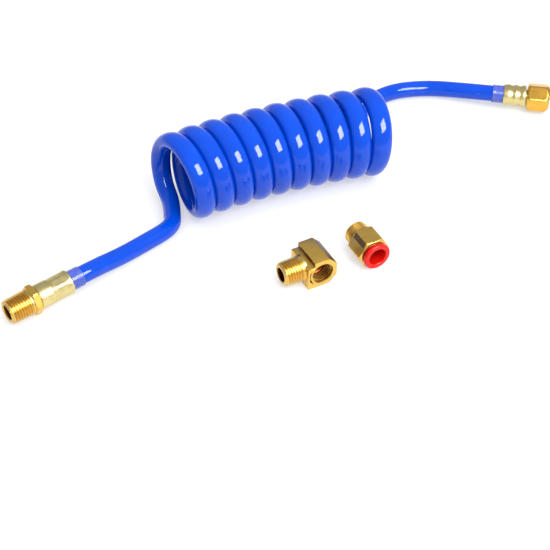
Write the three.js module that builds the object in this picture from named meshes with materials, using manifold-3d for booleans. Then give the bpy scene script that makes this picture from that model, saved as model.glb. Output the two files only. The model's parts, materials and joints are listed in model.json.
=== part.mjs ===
// A coiled polyurethane air hose with a taper-thread end, a swivel-nut end and two loose adapters:
// a street elbow and a push-in tube connector. Millimetres, +Z up, everything lying on z = 0.
// +X runs along the coil, from the taper-thread end to the swivel end.
import * as THREE from "three";
import { mergeVertices } from "three/addons/utils/BufferGeometryUtils.js";
import Module from "manifold-3d";

// ---------------------------------------------------------------- driving dimensions
// Hose and coil
const HOSE_OD = 9.5;
const HOSE_ID = 6.2;
const COIL_RADIUS = 20.0; // to the hose's centreline
const COIL_TURNS = 10;
const COIL_PITCH = 11.9;
const COIL_BEND = THREE.MathUtils.degToRad(18); // how far the coil's axis turns, end to end
const COIL_START = [-33.1, 63.9]; // under the axis at the first turn, on the plan
const COIL_END_SPARE = 6.5; // how far the end turns reach past the first and last bottom points

// Clearances
const GAP = 0.3; // between neighbouring solids along an axis
const SLIP = 0.2; // radial, of one round piece inside another
const LIFT = 0.1; // of the hose above the floor

// Taper pipe thread, quarter-inch size, 18 threads to the inch
const THREAD_PITCH = 1.411;
const THREAD_TIP_RADIUS = 6.4;
const THREAD_DEPTH = 0.85;
const THREAD_TAPER = 1 / 32; // radius gained per length
const FEMALE_ENGAGEMENT = 0.6; // of a female thread's ridges, inside the male thread's tip

// Hose ends: what both have
const FERRULE_WALL = 0.95;
const FERRULE_FLANGE = 1.2;
const SLEEVE_WALL = 0.4;
const STEM_NECK_RADIUS = 3.7;
const STEM_BORE_RADIUS = 1.8;
const BARB_COUNT = 4;
const BARB_CREST_DEPTH = 0.35;

// Taper-thread end
const MALE_THREAD_LENGTH = 12.0;
const MALE_SHOULDER = 0.8;
const MALE_HEX_STEP = 0.375; // from the thread's largest radius out to the flats
const MALE_HEX_LENGTH = 3.8;
const MALE_BORE_RADIUS = 4.0;
const MALE_FERRULE_LENGTH = 18.7;
const MALE_SLEEVE_PROUD = 6.8;
const MALE_SLEEVE_HIDDEN = 9.0;
const MALE_TIP = [-135.4, 16.2];
const MALE_HEADING = THREE.MathUtils.degToRad(17.5);

// Swivel end
const NUT_WALL = 1.7; // from the female thread out to the flats
const NUT_LENGTH = 13.5;
const NUT_TURN = THREE.MathUtils.degToRad(18.5); // from flats up and down, held just off the floor
const NUT_THREAD_DEPTH = 9.0;
const NUT_LEDGE = 1.4; // how far the nut's back reaches in from its thread, to pull on the seat
const SEAT_START = 5.0; // the seat's nose, inside the nut's mouth
const SEAT_CLEARANCE = 0.7; // of the seat's head, inside the nut's thread
const SEAT_NOSE_RADIUS = 3.4;
const SEAL_RADIUS = 0.6;
const SWIVEL_GROOVE = 1.0; // the gap seen between nut and ferrule
const SWIVEL_FERRULE_LENGTH = 13.0;
const SWIVEL_SLEEVE_PROUD = 6.6;
const SWIVEL_SLEEVE_HIDDEN = 7.0;
const SWIVEL_TIP = [206.2, 73.7];
const SWIVEL_HEADING = THREE.MathUtils.degToRad(149);

// Street elbow
const ELBOW_WALL = 2.5; // from the female thread out to the flats
const ELBOW_CHAMFER = 4.6; // on the side away from the male thread
const ELBOW_STEP = 4.5; // from the port's axis to the step down to the male thread's side
const ELBOW_LEDGE = 5.2; // the height of that side above the axes
const ELBOW_BACK = 9.8; // block behind the male thread's axis
const ELBOW_FRONT = 8.8; // block in front of it, to the female mouth
const ELBOW_PORT_DEPTH = 8.6;
const ELBOW_BORE_RADIUS = 3.7;
const ELBOW_THREAD_LENGTH = 12.0;
const ELBOW_CENTRE = [18.9, -7.2];
const ELBOW_HEADING = THREE.MathUtils.degToRad(186);

// Push-in connector
const TUBE_OD = 9.5; // the tube that it grips, the same as the hose
const CONNECTOR_THREAD_LENGTH = 8.0;
const CONNECTOR_WALL = 1.5; // from the wide bore out to the flats
const CONNECTOR_HEX_LENGTH = 12.5;
const CONNECTOR_BORE_RADIUS = 3.5;
const CONNECTOR_STOP_DEPTH = 1.0; // the tube's stop, past the thread
const CARTRIDGE_START = 2.7; // the wide bore, past the thread
const GUIDE_WALL = 0.45;
const SEAL_WIDTH = 1.6;
const SPACER_WIDTH = 0.8;
const GRAB_RING_WIDTH = 0.4;
const COLLET_TRAVEL = 1.2;
const COLLET_WALL = 0.55;
const COLLET_BEAD = 0.35;
const COLLET_FLANGE_REACH = 2.1; // out from the collet's tube
const COLLET_FLANGE_WIDTH = 1.7;
const GUIDE_LIP = 1.0;
const CONNECTOR_TIP = [48.5, 8.4];
const CONNECTOR_HEADING = THREE.MathUtils.degToRad(-84);

// The kit's middle on the plan, which becomes the origin
const KIT_CENTRE = [36.45, 39.53];

// ---------------------------------------------------------------- sizes that follow from these
const FEMALE_RADIUS = THREAD_TIP_RADIUS - FEMALE_ENGAGEMENT;
const SLEEVE_INNER = HOSE_OD / 2 + SLIP;
const FERRULE_INNER = SLEEVE_INNER + SLEEVE_WALL + SLIP;
const FERRULE_RADIUS = FERRULE_INNER + FERRULE_WALL;
const MALE_HEX_AF = 2 * (THREAD_TIP_RADIUS + MALE_THREAD_LENGTH * THREAD_TAPER + MALE_HEX_STEP);
const NUT_AF = 2 * (FEMALE_RADIUS + NUT_WALL);
const NUT_HOLE_RADIUS = FEMALE_RADIUS - NUT_LEDGE;
const SEAT_HEAD_RADIUS = FEMALE_RADIUS - SEAT_CLEARANCE;
const ELBOW_AF = 2 * (FEMALE_RADIUS + ELBOW_WALL);
const TUBE_HOLE = TUBE_OD / 2 + SLIP / 2;
const COLLET_RADIUS = TUBE_HOLE + COLLET_WALL;
const GUIDE_BORE = COLLET_RADIUS + COLLET_BEAD + SLIP;
const CARTRIDGE_RADIUS = GUIDE_BORE + GUIDE_WALL + SLIP;
const CONNECTOR_HEX_AF = 2 * (CARTRIDGE_RADIUS + CONNECTOR_WALL);
const COLLET_FLANGE_RADIUS = COLLET_RADIUS + COLLET_FLANGE_REACH;

// ---------------------------------------------------------------- fineness
const ROUND = 24; // sides of a round piece
const HOSE_SIDES = 12;
const CHAMFER = 0.8;

// ---------------------------------------------------------------- materials
const finish = (color, roughness, metalness) =>
  new THREE.MeshStandardMaterial({ color, roughness, metalness });
const MATERIALS = {
  hose: finish(0x104de3, 0.25, 0),
  sleeve: finish(0x7d8be0, 0.3, 0),
  brass: finish(0xb99a4b, 0.35, 1),
  ferrule: finish(0xd9c781, 0.3, 1),
  seal: finish(0x1a1a1c, 0.7, 0),
  steel: finish(0xb8bbc0, 0.3, 1),
  collet: finish(0xe8200c, 0.4, 0),
  guide: finish(0xc9c4b4, 0.5, 0),
};

// ---------------------------------------------------------------- solids and booleans
const wasm = await Module();
wasm.setup();

/** A closed three.js geometry as a manifold-3d solid, with its faces turned outwards. */
function solid(geometry) {
  const bare = geometry.index ? geometry.toNonIndexed() : geometry.clone();
  const extra = Object.keys(bare.attributes).filter((name) => name !== "position");
  extra.forEach((name) => bare.deleteAttribute(name));
  const merged = mergeVertices(bare, 1e-4);
  const corners = merged.index.array;
  const position = merged.attributes.position;
  const point = (i) => new THREE.Vector3().fromBufferAttribute(position, i);
  const triangles = [];
  let volume = 0;
  for (let i = 0; i < corners.length; i += 3) {
    const [a, b, c] = [corners[i], corners[i + 1], corners[i + 2]];
    if (a === b || b === c || c === a) continue; // a face that shrank to a line at the axis
    triangles.push([a, b, c]);
    volume += point(a).dot(point(b).cross(point(c)));
  }
  const outward = volume > 0 ? triangles : triangles.map(([a, b, c]) => [a, c, b]);
  return new wasm.Manifold(
    new wasm.Mesh({
      numProp: 3,
      vertProperties: new Float32Array(position.array),
      triVerts: new Uint32Array(outward.flat()),
    }),
  );
}

/** A named mesh of a manifold-3d solid. */
function part(name, shape, material) {
  const mesh = shape.getMesh();
  const position = new Float32Array(mesh.numVert * 3);
  for (let i = 0; i < mesh.numVert; i++) {
    position.set(mesh.vertProperties.subarray(i * mesh.numProp, i * mesh.numProp + 3), i * 3);
  }
  const geometry = new THREE.BufferGeometry();
  geometry.setAttribute("position", new THREE.BufferAttribute(position, 3));
  geometry.setIndex(new THREE.BufferAttribute(mesh.triVerts, 1));
  geometry.computeVertexNormals();
  const made = new THREE.Mesh(geometry, material);
  made.name = name;
  return made;
}

/** Turns a profile of [x, radius] points about the X axis. A ring's profile closes on itself. */
function turned(profile, { ring = false, sides = ROUND } = {}) {
  const points = profile.map(([x, radius]) => new THREE.Vector2(radius, x));
  if (ring) points.push(points[0].clone());
  return solid(new THREE.LatheGeometry(points, sides).rotateZ(-Math.PI / 2));
}

/** A rod from x0 to x1 about the X axis. */
const rod = (x0, x1, radius) =>
  turned([
    [x0, 0],
    [x0, radius],
    [x1, radius],
    [x1, 0],
  ]);

/** The radius whose flats, on a round piece's polygon, are at the radius given. */
const bored = (radius, sides = ROUND) => radius / Math.cos(Math.PI / sides);

/** A plain ring from x0 to x1. */
const ring = (x0, x1, inner, outer) =>
  turned(
    [
      [x0, bored(inner)],
      [x0, outer],
      [x1, outer],
      [x1, bored(inner)],
    ],
    { ring: true },
  );

/** A hexagonal bar from x0 to x1, flats up and down, with both ends chamfered. */
function hexagon(x0, x1, acrossFlats) {
  const corner = acrossFlats / 2 / Math.cos(Math.PI / 6);
  const shape = new THREE.Shape(
    [...Array(6).keys()].map((i) => {
      const angle = ((2 * i + 1) * Math.PI) / 6;
      return new THREE.Vector2(corner * Math.cos(angle), corner * Math.sin(angle));
    }),
  );
  const bar = new THREE.ExtrudeGeometry(shape, { depth: x1 - x0, bevelEnabled: false });
  const face = acrossFlats / 2 - CHAMFER / 4;
  const blank = turned([
    [x0, 0],
    [x0, face],
    [x0 + CHAMFER, corner * 1.01],
    [x1 - CHAMFER, corner * 1.01],
    [x1, face],
    [x1, 0],
  ]);
  return solid(bar.rotateY(Math.PI / 2).translate(x0, 0, 0)).intersect(blank);
}

/** Points of a taper thread from its tip at x0, ridge after ridge, wider by the taper. */
function threadProfile(x0, length) {
  const points = [[x0, 0]];
  const root = (x) => THREAD_TIP_RADIUS - THREAD_DEPTH + (x - x0) * THREAD_TAPER;
  const ridges = Math.floor(length / THREAD_PITCH);
  for (let i = 0; i < ridges; i++) {
    const start = x0 + i * THREAD_PITCH;
    const middle = start + THREAD_PITCH / 2;
    points.push([start, root(start)], [middle, root(middle) + THREAD_DEPTH]);
  }
  const end = x0 + ridges * THREAD_PITCH;
  points.push([end, root(end)]);
  return points;
}

/** A male taper thread with its plain shoulder, from its tip at x0. */
function maleThread(x0, length, shoulder) {
  const points = threadProfile(x0, length);
  const radius = THREAD_TIP_RADIUS + length * THREAD_TAPER;
  const end = x0 + length + shoulder;
  points.push([x0 + length, radius], [end, radius], [end, 0]);
  return turned(points);
}

// ---------------------------------------------------------------- hose ends
// Each end is made along +X from its open end to the hose.

/** The ridged tail that the hose is pushed over, from the flange's seat at x0. */
function barbedTail(x0, length) {
  const crest = HOSE_ID / 2 - SLIP;
  const root = crest - BARB_CREST_DEPTH;
  const neck = x0 + FERRULE_FLANGE + GAP;
  const step = (length - FERRULE_FLANGE - 2 * GAP - CHAMFER) / BARB_COUNT;
  const points = [
    [x0, 0],
    [x0, STEM_NECK_RADIUS],
    [neck, STEM_NECK_RADIUS],
    [neck, root],
  ];
  for (let i = 0; i < BARB_COUNT; i++) {
    const start = neck + (i + 0.5) * step;
    points.push([start, root], [start, crest], [start + step / 2, root]);
  }
  points.push([neck + BARB_COUNT * step, root], [neck + BARB_COUNT * step, 0]);
  return turned(points);
}

/** The crimped cup round the hose's end, with its flange at x0 and its mouth towards the hose. */
function ferrule(x0, length, crimps) {
  const end = x0 + length;
  const points = [
    [x0, bored(STEM_NECK_RADIUS + GAP)],
    [x0, FERRULE_RADIUS - CHAMFER / 2],
    [x0 + CHAMFER / 2, FERRULE_RADIUS],
  ];
  for (const [start, width, depth] of crimps) {
    const from = x0 + start;
    points.push([from, FERRULE_RADIUS], [from + CHAMFER, FERRULE_RADIUS - depth]);
    points.push([from + width - CHAMFER, FERRULE_RADIUS - depth], [from + width, FERRULE_RADIUS]);
  }
  points.push([end, FERRULE_RADIUS], [end, bored(FERRULE_INNER)]);
  points.push([x0 + FERRULE_FLANGE, bored(FERRULE_INNER)]);
  points.push([x0 + FERRULE_FLANGE, bored(STEM_NECK_RADIUS + GAP)]);
  return turned(points, { ring: true });
}

/** The clear sleeve between hose and ferrule, standing proud of the ferrule's mouth. */
function guardSleeve(mouth, hidden, proud) {
  return ring(mouth - hidden, mouth + proud, SLEEVE_INNER, SLEEVE_INNER + SLEEVE_WALL);
}

const maleHexStart = MALE_THREAD_LENGTH + MALE_SHOULDER;
const maleHexEnd = maleHexStart + MALE_HEX_LENGTH;
const maleFerruleStart = maleHexEnd + GAP;
const maleMouth = maleFerruleStart + MALE_FERRULE_LENGTH;
const maleHoseStart = maleFerruleStart + FERRULE_FLANGE + GAP;
const maleSleeveEnd = maleMouth + MALE_SLEEVE_PROUD;

function maleEnd() {
  const stem = maleThread(0, MALE_THREAD_LENGTH, MALE_SHOULDER)
    .add(hexagon(maleHexStart - 0.01, maleHexEnd, MALE_HEX_AF))
    .add(barbedTail(maleHexEnd, MALE_FERRULE_LENGTH))
    .subtract(rod(-1, maleHexEnd - STEM_NECK_RADIUS, bored(MALE_BORE_RADIUS)))
    .subtract(rod(-1, maleMouth + 1, STEM_BORE_RADIUS));
  const crimp = [[7.5, 7.5, 0.35]];
  const group = new THREE.Group();
  group.add(
    part("male_stem", stem, MATERIALS.brass),
    part("male_ferrule", ferrule(maleFerruleStart, MALE_FERRULE_LENGTH, crimp), MATERIALS.ferrule),
    part(
      "male_guard_sleeve",
      guardSleeve(maleMouth, MALE_SLEEVE_HIDDEN, MALE_SLEEVE_PROUD),
      MATERIALS.sleeve,
    ),
  );
  return group;
}

const seatBack = NUT_THREAD_DEPTH - GAP;
const swivelFlangeStart = NUT_LENGTH + SWIVEL_GROOVE;
const swivelMouth = swivelFlangeStart + SWIVEL_FERRULE_LENGTH;
const swivelHoseStart = swivelFlangeStart + FERRULE_FLANGE + GAP;
const swivelSleeveEnd = swivelMouth + SWIVEL_SLEEVE_PROUD;

function swivelEnd() {
  const neck = NUT_HOLE_RADIUS - GAP;
  const sealAt = SEAT_START + SEAL_RADIUS * 2;
  const sealSeat = SEAT_NOSE_RADIUS + SEAL_RADIUS / 2;
  const seat = turned([
    [SEAT_START, 0],
    [SEAT_START, SEAT_NOSE_RADIUS],
    [sealAt - SEAL_RADIUS - GAP, SEAT_NOSE_RADIUS],
    [sealAt + SEAL_RADIUS + GAP, SEAT_NOSE_RADIUS],
    [sealAt + SEAL_RADIUS + GAP, sealSeat + SEAL_RADIUS],
    [seatBack - CHAMFER, SEAT_HEAD_RADIUS],
    [seatBack, SEAT_HEAD_RADIUS],
    [seatBack, neck],
    [NUT_LENGTH + GAP, neck],
    [NUT_LENGTH + GAP, STEM_NECK_RADIUS],
    [swivelFlangeStart, STEM_NECK_RADIUS],
    [swivelFlangeStart, 0],
  ]);
  const stem = seat
    .add(barbedTail(swivelFlangeStart - 0.01, SWIVEL_FERRULE_LENGTH))
    .subtract(rod(SEAT_START - 1, swivelMouth + 1, STEM_BORE_RADIUS));
  const sealProfile = [...Array(8).keys()].map((i) => {
    const angle = (i * Math.PI) / 4;
    const radius = bored(SEAT_NOSE_RADIUS + GAP / 2) + SEAL_RADIUS;
    return [sealAt + SEAL_RADIUS * Math.cos(angle), radius + SEAL_RADIUS * Math.sin(angle)];
  });
  const nut = hexagon(0, NUT_LENGTH, NUT_AF)
    .subtract(rod(-1, NUT_THREAD_DEPTH, bored(FEMALE_RADIUS)))
    .subtract(rod(-1, NUT_LENGTH + 1, bored(NUT_HOLE_RADIUS)))
    .subtract(
      turned([
        [-1, 0],
        [-1, FEMALE_RADIUS + CHAMFER],
        [0, FEMALE_RADIUS + CHAMFER],
        [CHAMFER, FEMALE_RADIUS],
        [CHAMFER, 0],
      ]),
    );
  const crimps = [
    [1.6, 3.6, 0.3],
    [6.6, 3.6, 0.3],
  ];
  const nutMesh = part("swivel_nut", nut, MATERIALS.brass);
  nutMesh.rotation.x = NUT_TURN;
  const group = new THREE.Group();
  group.add(
    nutMesh,
    part("swivel_stem", stem, MATERIALS.brass),
    part("swivel_seal_ring", turned(sealProfile, { ring: true }), MATERIALS.seal),
    part(
      "swivel_ferrule",
      ferrule(swivelFlangeStart, SWIVEL_FERRULE_LENGTH, crimps),
      MATERIALS.ferrule,
    ),
    part(
      "swivel_guard_sleeve",
      guardSleeve(swivelMouth, SWIVEL_SLEEVE_HIDDEN, SWIVEL_SLEEVE_PROUD),
      MATERIALS.sleeve,
    ),
  );
  return group;
}

// ---------------------------------------------------------------- street elbow
// Made about the crossing of its two axes: the male thread along +X, the female port along +Y.
function streetElbow() {
  const half = ELBOW_AF / 2;
  const cut = half - ELBOW_CHAMFER;
  const outline = new THREE.Shape(
    [
      [half, ELBOW_LEDGE],
      [ELBOW_STEP, ELBOW_LEDGE],
      [ELBOW_STEP, half],
      [-cut, half],
      [-half, cut],
      [-half, -cut],
      [-cut, -half],
      [half, -half],
    ].map(([x, z]) => new THREE.Vector2(x, z)),
  );
  const depth = ELBOW_BACK + ELBOW_FRONT;
  const block = new THREE.ExtrudeGeometry(outline, { depth, bevelEnabled: false });
  // The outline's plane is XZ and it is extruded along +Y.
  block.rotateX(Math.PI / 2).translate(0, ELBOW_FRONT, 0);
  const alongY = (shape) => shape.rotate([0, 0, 90]);
  const thread = maleThread(0, ELBOW_THREAD_LENGTH, half).rotate([0, 0, 180]);
  const reach = half + ELBOW_THREAD_LENGTH - CHAMFER;
  const port = turned([
    [-ELBOW_BORE_RADIUS, 0],
    [-ELBOW_BORE_RADIUS, ELBOW_BORE_RADIUS],
    [ELBOW_FRONT - ELBOW_PORT_DEPTH, ELBOW_BORE_RADIUS],
    [ELBOW_FRONT - ELBOW_PORT_DEPTH, bored(FEMALE_RADIUS)],
    [ELBOW_FRONT - CHAMFER, bored(FEMALE_RADIUS)],
    [ELBOW_FRONT, FEMALE_RADIUS + 2 * CHAMFER],
    [ELBOW_FRONT + 1, FEMALE_RADIUS + 2 * CHAMFER],
    [ELBOW_FRONT + 1, 0],
  ]);
  const body = solid(block)
    .add(thread.translate([reach, 0, 0]))
    .subtract(alongY(port))
    .subtract(rod(0, reach + 1, ELBOW_BORE_RADIUS));
  return part("street_elbow", body, MATERIALS.brass);
}

// ---------------------------------------------------------------- push-in connector
// Made along +X from the thread's tip to the collet's face.
const connectorHexStart = CONNECTOR_THREAD_LENGTH;
const connectorFace = connectorHexStart + CONNECTOR_HEX_LENGTH;

function pushInConnector() {
  const stop = connectorHexStart + CONNECTOR_STOP_DEPTH;
  const wide = connectorHexStart + CARTRIDGE_START;
  const body = maleThread(0, CONNECTOR_THREAD_LENGTH, 0.01)
    .add(hexagon(connectorHexStart, connectorFace, CONNECTOR_HEX_AF))
    .subtract(rod(-1, stop + 1, CONNECTOR_BORE_RADIUS))
    .subtract(rod(stop, wide + 1, bored(TUBE_HOLE)))
    .subtract(rod(wide, connectorFace + 1, bored(CARTRIDGE_RADIUS)));

  const outer = CARTRIDGE_RADIUS - SLIP;
  const sealStart = wide + GAP;
  const spacerStart = sealStart + SEAL_WIDTH + GAP;
  const grabStart = spacerStart + SPACER_WIDTH + GAP;
  const guideStart = grabStart + GRAB_RING_WIDTH + GAP;
  const sealRadius = SEAL_WIDTH / 2;
  const sealProfile = [...Array(8).keys()].map((i) => {
    const angle = ((2 * i + 1) * Math.PI) / 8;
    const x = sealStart + sealRadius + sealRadius * Math.cos(angle);
    return [x, outer - sealRadius + sealRadius * Math.sin(angle)];
  });

  const colletStart = guideStart + COLLET_TRAVEL;
  const flangeStart = connectorFace + COLLET_TRAVEL + GAP;
  const flangeEnd = flangeStart + COLLET_FLANGE_WIDTH;
  const beadEnd = colletStart + 3 * COLLET_BEAD;
  const collet = turned(
    [
      [colletStart, bored(TUBE_HOLE)],
      [colletStart, COLLET_RADIUS],
      [colletStart + COLLET_BEAD, COLLET_RADIUS + COLLET_BEAD],
      [beadEnd, COLLET_RADIUS + COLLET_BEAD],
      [beadEnd, COLLET_RADIUS],
      [flangeStart, COLLET_RADIUS],
      [flangeStart, COLLET_FLANGE_RADIUS],
      [flangeEnd - COLLET_BEAD, COLLET_FLANGE_RADIUS],
      [flangeEnd, COLLET_FLANGE_RADIUS - COLLET_BEAD],
      [flangeEnd, bored(TUBE_HOLE) + COLLET_BEAD],
      [flangeEnd - COLLET_BEAD, bored(TUBE_HOLE)],
    ],
    { ring: true },
  );
  const guide = turned(
    [
      [guideStart, bored(GUIDE_BORE)],
      [guideStart, outer],
      [connectorFace - GAP, outer],
      [connectorFace - GAP, bored(COLLET_RADIUS + SLIP)],
      [connectorFace - GAP - GUIDE_LIP, bored(COLLET_RADIUS + SLIP)],
      [connectorFace - GAP - GUIDE_LIP, bored(GUIDE_BORE)],
    ],
    { ring: true },
  );
  const group = new THREE.Group();
  group.add(
    part("connector_body", body, MATERIALS.brass),
    part("tube_seal", turned(sealProfile, { ring: true }), MATERIALS.seal),
    part(
      "seal_spacer",
      ring(spacerStart, spacerStart + SPACER_WIDTH, TUBE_HOLE, outer),
      MATERIALS.guide,
    ),
    part(
      "grab_ring",
      ring(grabStart, grabStart + GRAB_RING_WIDTH, TUBE_HOLE - SLIP, outer),
      MATERIALS.steel,
    ),
    part("collet_guide", guide, MATERIALS.brass),
    part("release_collet", collet, MATERIALS.collet),
  );
  return group;
}

// ---------------------------------------------------------------- hose
const coilHeight = COIL_RADIUS + HOSE_OD / 2 + LIFT;
const coilLength = COIL_PITCH * COIL_TURNS;

/** The coil's axis: an arc on the plan, run on straight past both ends. */
class CoilAxis extends THREE.Curve {
  constructor(spare) {
    super();
    this.spare = spare;
  }
  getPoint(t, target = new THREE.Vector3()) {
    const along = -this.spare + t * (coilLength + 2 * this.spare);
    const radius = coilLength / COIL_BEND;
    const heading = COIL_BEND / 2 - along / radius;
    const x = COIL_START[0] + radius * (Math.sin(COIL_BEND / 2) - Math.sin(heading));
    const y = COIL_START[1] + radius * (Math.cos(heading) - Math.cos(COIL_BEND / 2));
    return target.set(x, y, coilHeight);
  }
}

function circlePath(radius, sides) {
  return [...Array(sides).keys()].map((i) => {
    const angle = (2 * Math.PI * i) / sides;
    return new THREE.Vector2(radius * Math.cos(angle), radius * Math.sin(angle));
  });
}

/** A tube along a curve. With no inner radius it is a rod. */
function tube(curve, outer, inner, steps, sides) {
  const section = new THREE.Shape(circlePath(outer, sides));
  if (inner) section.holes.push(new THREE.Path(circlePath(bored(inner, sides), sides)));
  const options = { steps, extrudePath: curve, bevelEnabled: false };
  return solid(new THREE.ExtrudeGeometry(section, options));
}

/** Points on a hose end's axis, at distances from its open end. */
function alongEnd(tip, heading, height, distances) {
  return distances.map((distance) => [
    tip[0] + distance * Math.cos(heading),
    tip[1] + distance * Math.sin(heading),
    height,
  ]);
}

const maleHeight = MALE_HEX_AF / 2;
const swivelHeight = NUT_AF / 2 / Math.cos(Math.PI / 6);
const floorHeight = HOSE_OD / 2 + LIFT;

/** The route from the taper-thread end, along the floor and round into the first turn. */
const MALE_ROUTE = [
  ...alongEnd(MALE_TIP, MALE_HEADING, maleHeight, [maleHoseStart, 28, 36, maleSleeveEnd + 2]),
  [-83.6, 33.2, 6.4],
  [-72.0, 37.4, 5.3],
  [-60.5, 41.8, floorHeight],
  [-51.0, 45.4, floorHeight],
  [-43.6, 48.6, floorHeight],
  [-38.9, 52.4, floorHeight],
  [-36.5, 58.0, floorHeight],
  [-35.6, 66.0, floorHeight + 0.6],
];

/** The route from the last turn, back behind it and round to the swivel end. */
const SWIVEL_ROUTE = [
  [85.6, 66.0, floorHeight],
  [86.4, 75.0, floorHeight],
  [87.4, 86.0, floorHeight],
  [92.0, 99.5, floorHeight],
  [102.0, 111.0, floorHeight],
  [114.5, 117.6, floorHeight],
  [128.0, 119.2, floorHeight],
  [141.0, 116.6, floorHeight],
  [153.5, 110.2, 5.6],
  ...alongEnd(SWIVEL_TIP, SWIVEL_HEADING, swivelHeight, [
    swivelSleeveEnd + 4,
    30,
    24,
    swivelHoseStart,
  ]),
];

function hose() {
  const shell = tube(
    new CoilAxis(COIL_END_SPARE),
    COIL_RADIUS + HOSE_OD / 2,
    COIL_RADIUS - HOSE_OD / 2,
    8,
    ROUND,
  );
  const keepOut = tube(
    new CoilAxis(COIL_END_SPARE + GAP),
    COIL_RADIUS + HOSE_OD / 2 + GAP,
    0,
    8,
    ROUND,
  );
  const tail = (route, steps) => {
    const points = route.map((point) => new THREE.Vector3(...point));
    const curve = new THREE.CatmullRomCurve3(points, false, "centripetal");
    return tube(curve, HOSE_OD / 2, HOSE_ID / 2, steps, HOSE_SIDES).subtract(keepOut);
  };
  return [
    part("hose_coil", shell, MATERIALS.hose),
    part("hose_tail_male", tail(MALE_ROUTE, 24), MATERIALS.hose),
    part("hose_tail_swivel", tail(SWIVEL_ROUTE, 34), MATERIALS.hose),
  ];
}

// ---------------------------------------------------------------- the kit, laid out on the floor
function place(object, [x, y], height, heading) {
  object.position.set(x, y, height);
  object.rotation.z = heading;
  return object;
}

const kit = new THREE.Group();
kit.add(
  ...hose(),
  place(maleEnd(), MALE_TIP, maleHeight, MALE_HEADING),
  place(swivelEnd(), SWIVEL_TIP, swivelHeight, SWIVEL_HEADING),
  place(streetElbow(), ELBOW_CENTRE, ELBOW_AF / 2, ELBOW_HEADING),
  place(pushInConnector(), CONNECTOR_TIP, CONNECTOR_HEX_AF / 2, CONNECTOR_HEADING),
);
kit.position.set(-KIT_CENTRE[0], -KIT_CENTRE[1], 0);

export default kit;
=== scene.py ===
"""A coiled air hose with its crimped ends and two loose adapters: a street elbow and a push-in connector.

A fitting is drawn in millimetres in its own frame, whose +X runs inwards from its open end, and is put in its
place in metres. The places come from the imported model's mounts and boxes.
"""
import json
import math

import bmesh
import bpy
import numpy as np
from mathutils import Matrix, Vector


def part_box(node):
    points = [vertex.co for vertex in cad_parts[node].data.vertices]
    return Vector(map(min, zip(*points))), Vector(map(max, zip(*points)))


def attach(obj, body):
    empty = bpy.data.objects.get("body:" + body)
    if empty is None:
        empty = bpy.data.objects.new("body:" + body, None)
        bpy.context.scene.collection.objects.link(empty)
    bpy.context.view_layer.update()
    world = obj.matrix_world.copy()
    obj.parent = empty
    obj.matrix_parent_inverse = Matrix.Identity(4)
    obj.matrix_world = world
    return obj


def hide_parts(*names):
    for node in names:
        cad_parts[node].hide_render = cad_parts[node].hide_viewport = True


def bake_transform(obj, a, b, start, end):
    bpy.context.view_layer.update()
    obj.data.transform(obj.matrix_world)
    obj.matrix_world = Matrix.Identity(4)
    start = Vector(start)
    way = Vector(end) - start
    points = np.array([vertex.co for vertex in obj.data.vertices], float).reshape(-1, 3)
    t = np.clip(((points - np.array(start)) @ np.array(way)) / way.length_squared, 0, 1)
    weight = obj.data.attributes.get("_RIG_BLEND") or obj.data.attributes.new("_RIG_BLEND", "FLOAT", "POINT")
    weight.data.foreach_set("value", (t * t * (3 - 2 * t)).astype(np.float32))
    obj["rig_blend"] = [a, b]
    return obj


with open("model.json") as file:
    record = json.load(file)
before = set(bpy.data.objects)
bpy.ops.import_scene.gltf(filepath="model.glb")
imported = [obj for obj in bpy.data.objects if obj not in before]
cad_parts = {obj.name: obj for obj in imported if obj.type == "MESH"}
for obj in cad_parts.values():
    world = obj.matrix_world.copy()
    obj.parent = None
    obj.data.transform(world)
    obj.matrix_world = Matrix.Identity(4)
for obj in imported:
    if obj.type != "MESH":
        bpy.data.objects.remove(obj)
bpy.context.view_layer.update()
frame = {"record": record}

MM = 0.001
mounts = {mount["name"]: mount for mount in frame["record"]["mounts"]}

# --------------------------------------------------------------------------------------- sizes, in metres
# Hose and coil, as in the CAD model
HOSE_OD = 0.0095
LIFT = 0.0001  # of the hose above the floor
FLOOR_HEIGHT = HOSE_OD / 2 + LIFT
KIT_CENTRE = Vector((0.03645, 0.03953, 0))
COIL_OUTSIDE = 0.02475  # radius over the hose
COIL_TURNS = 10
COIL_PITCH = 0.0119
COIL_BEND = math.radians(18)
COIL_START = (-0.0331, 0.0639)

# What winding it has done to the hose
COIL_WIDTH = 0.0115  # of the hose's section along the coil's axis
COIL_THICKNESS = 0.0085
FLATTENING = 0.05  # the length over which the hose goes from round to flattened
FLATTENED_OUTSIDE = 0.25  # the share of it that is on the tail
COIL_END_LEAN = 0.2  # how far the last turn leans along the coil's axis
COIL_FIRST = math.radians(20)  # where the helix takes over from the tail, past the bottom of the first turn
COIL_LAST = math.radians(8)  # where it hands over to the other tail, past the bottom of the last turn
POINTS_PER_TURN = 16
HOSE_SIDES = 36
RING_STEP = 0.00125  # between the hose's rings

# The routes that aren't coiled, as in the CAD model, without the points that it has inside the coil
MALE_ROUTE = [
    (-0.0836, 0.0332, 0.0064),
    (-0.0720, 0.0374, 0.0053),
    (-0.0605, 0.0418, FLOOR_HEIGHT),
    (-0.0510, 0.0454, FLOOR_HEIGHT),
    (-0.0436, 0.0486, FLOOR_HEIGHT),
    (-0.0389, 0.0524, FLOOR_HEIGHT),
    (-0.0365, 0.0580, FLOOR_HEIGHT),
]
SWIVEL_ROUTE = [
    (0.0874, 0.0860, FLOOR_HEIGHT),
    (0.0920, 0.0995, FLOOR_HEIGHT),
    (0.1020, 0.1110, FLOOR_HEIGHT),
    (0.1145, 0.1176, FLOOR_HEIGHT),
    (0.1280, 0.1192, FLOOR_HEIGHT),
    (0.1410, 0.1166, FLOOR_HEIGHT),
    (0.1535, 0.1102, 0.0056),
]

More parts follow.
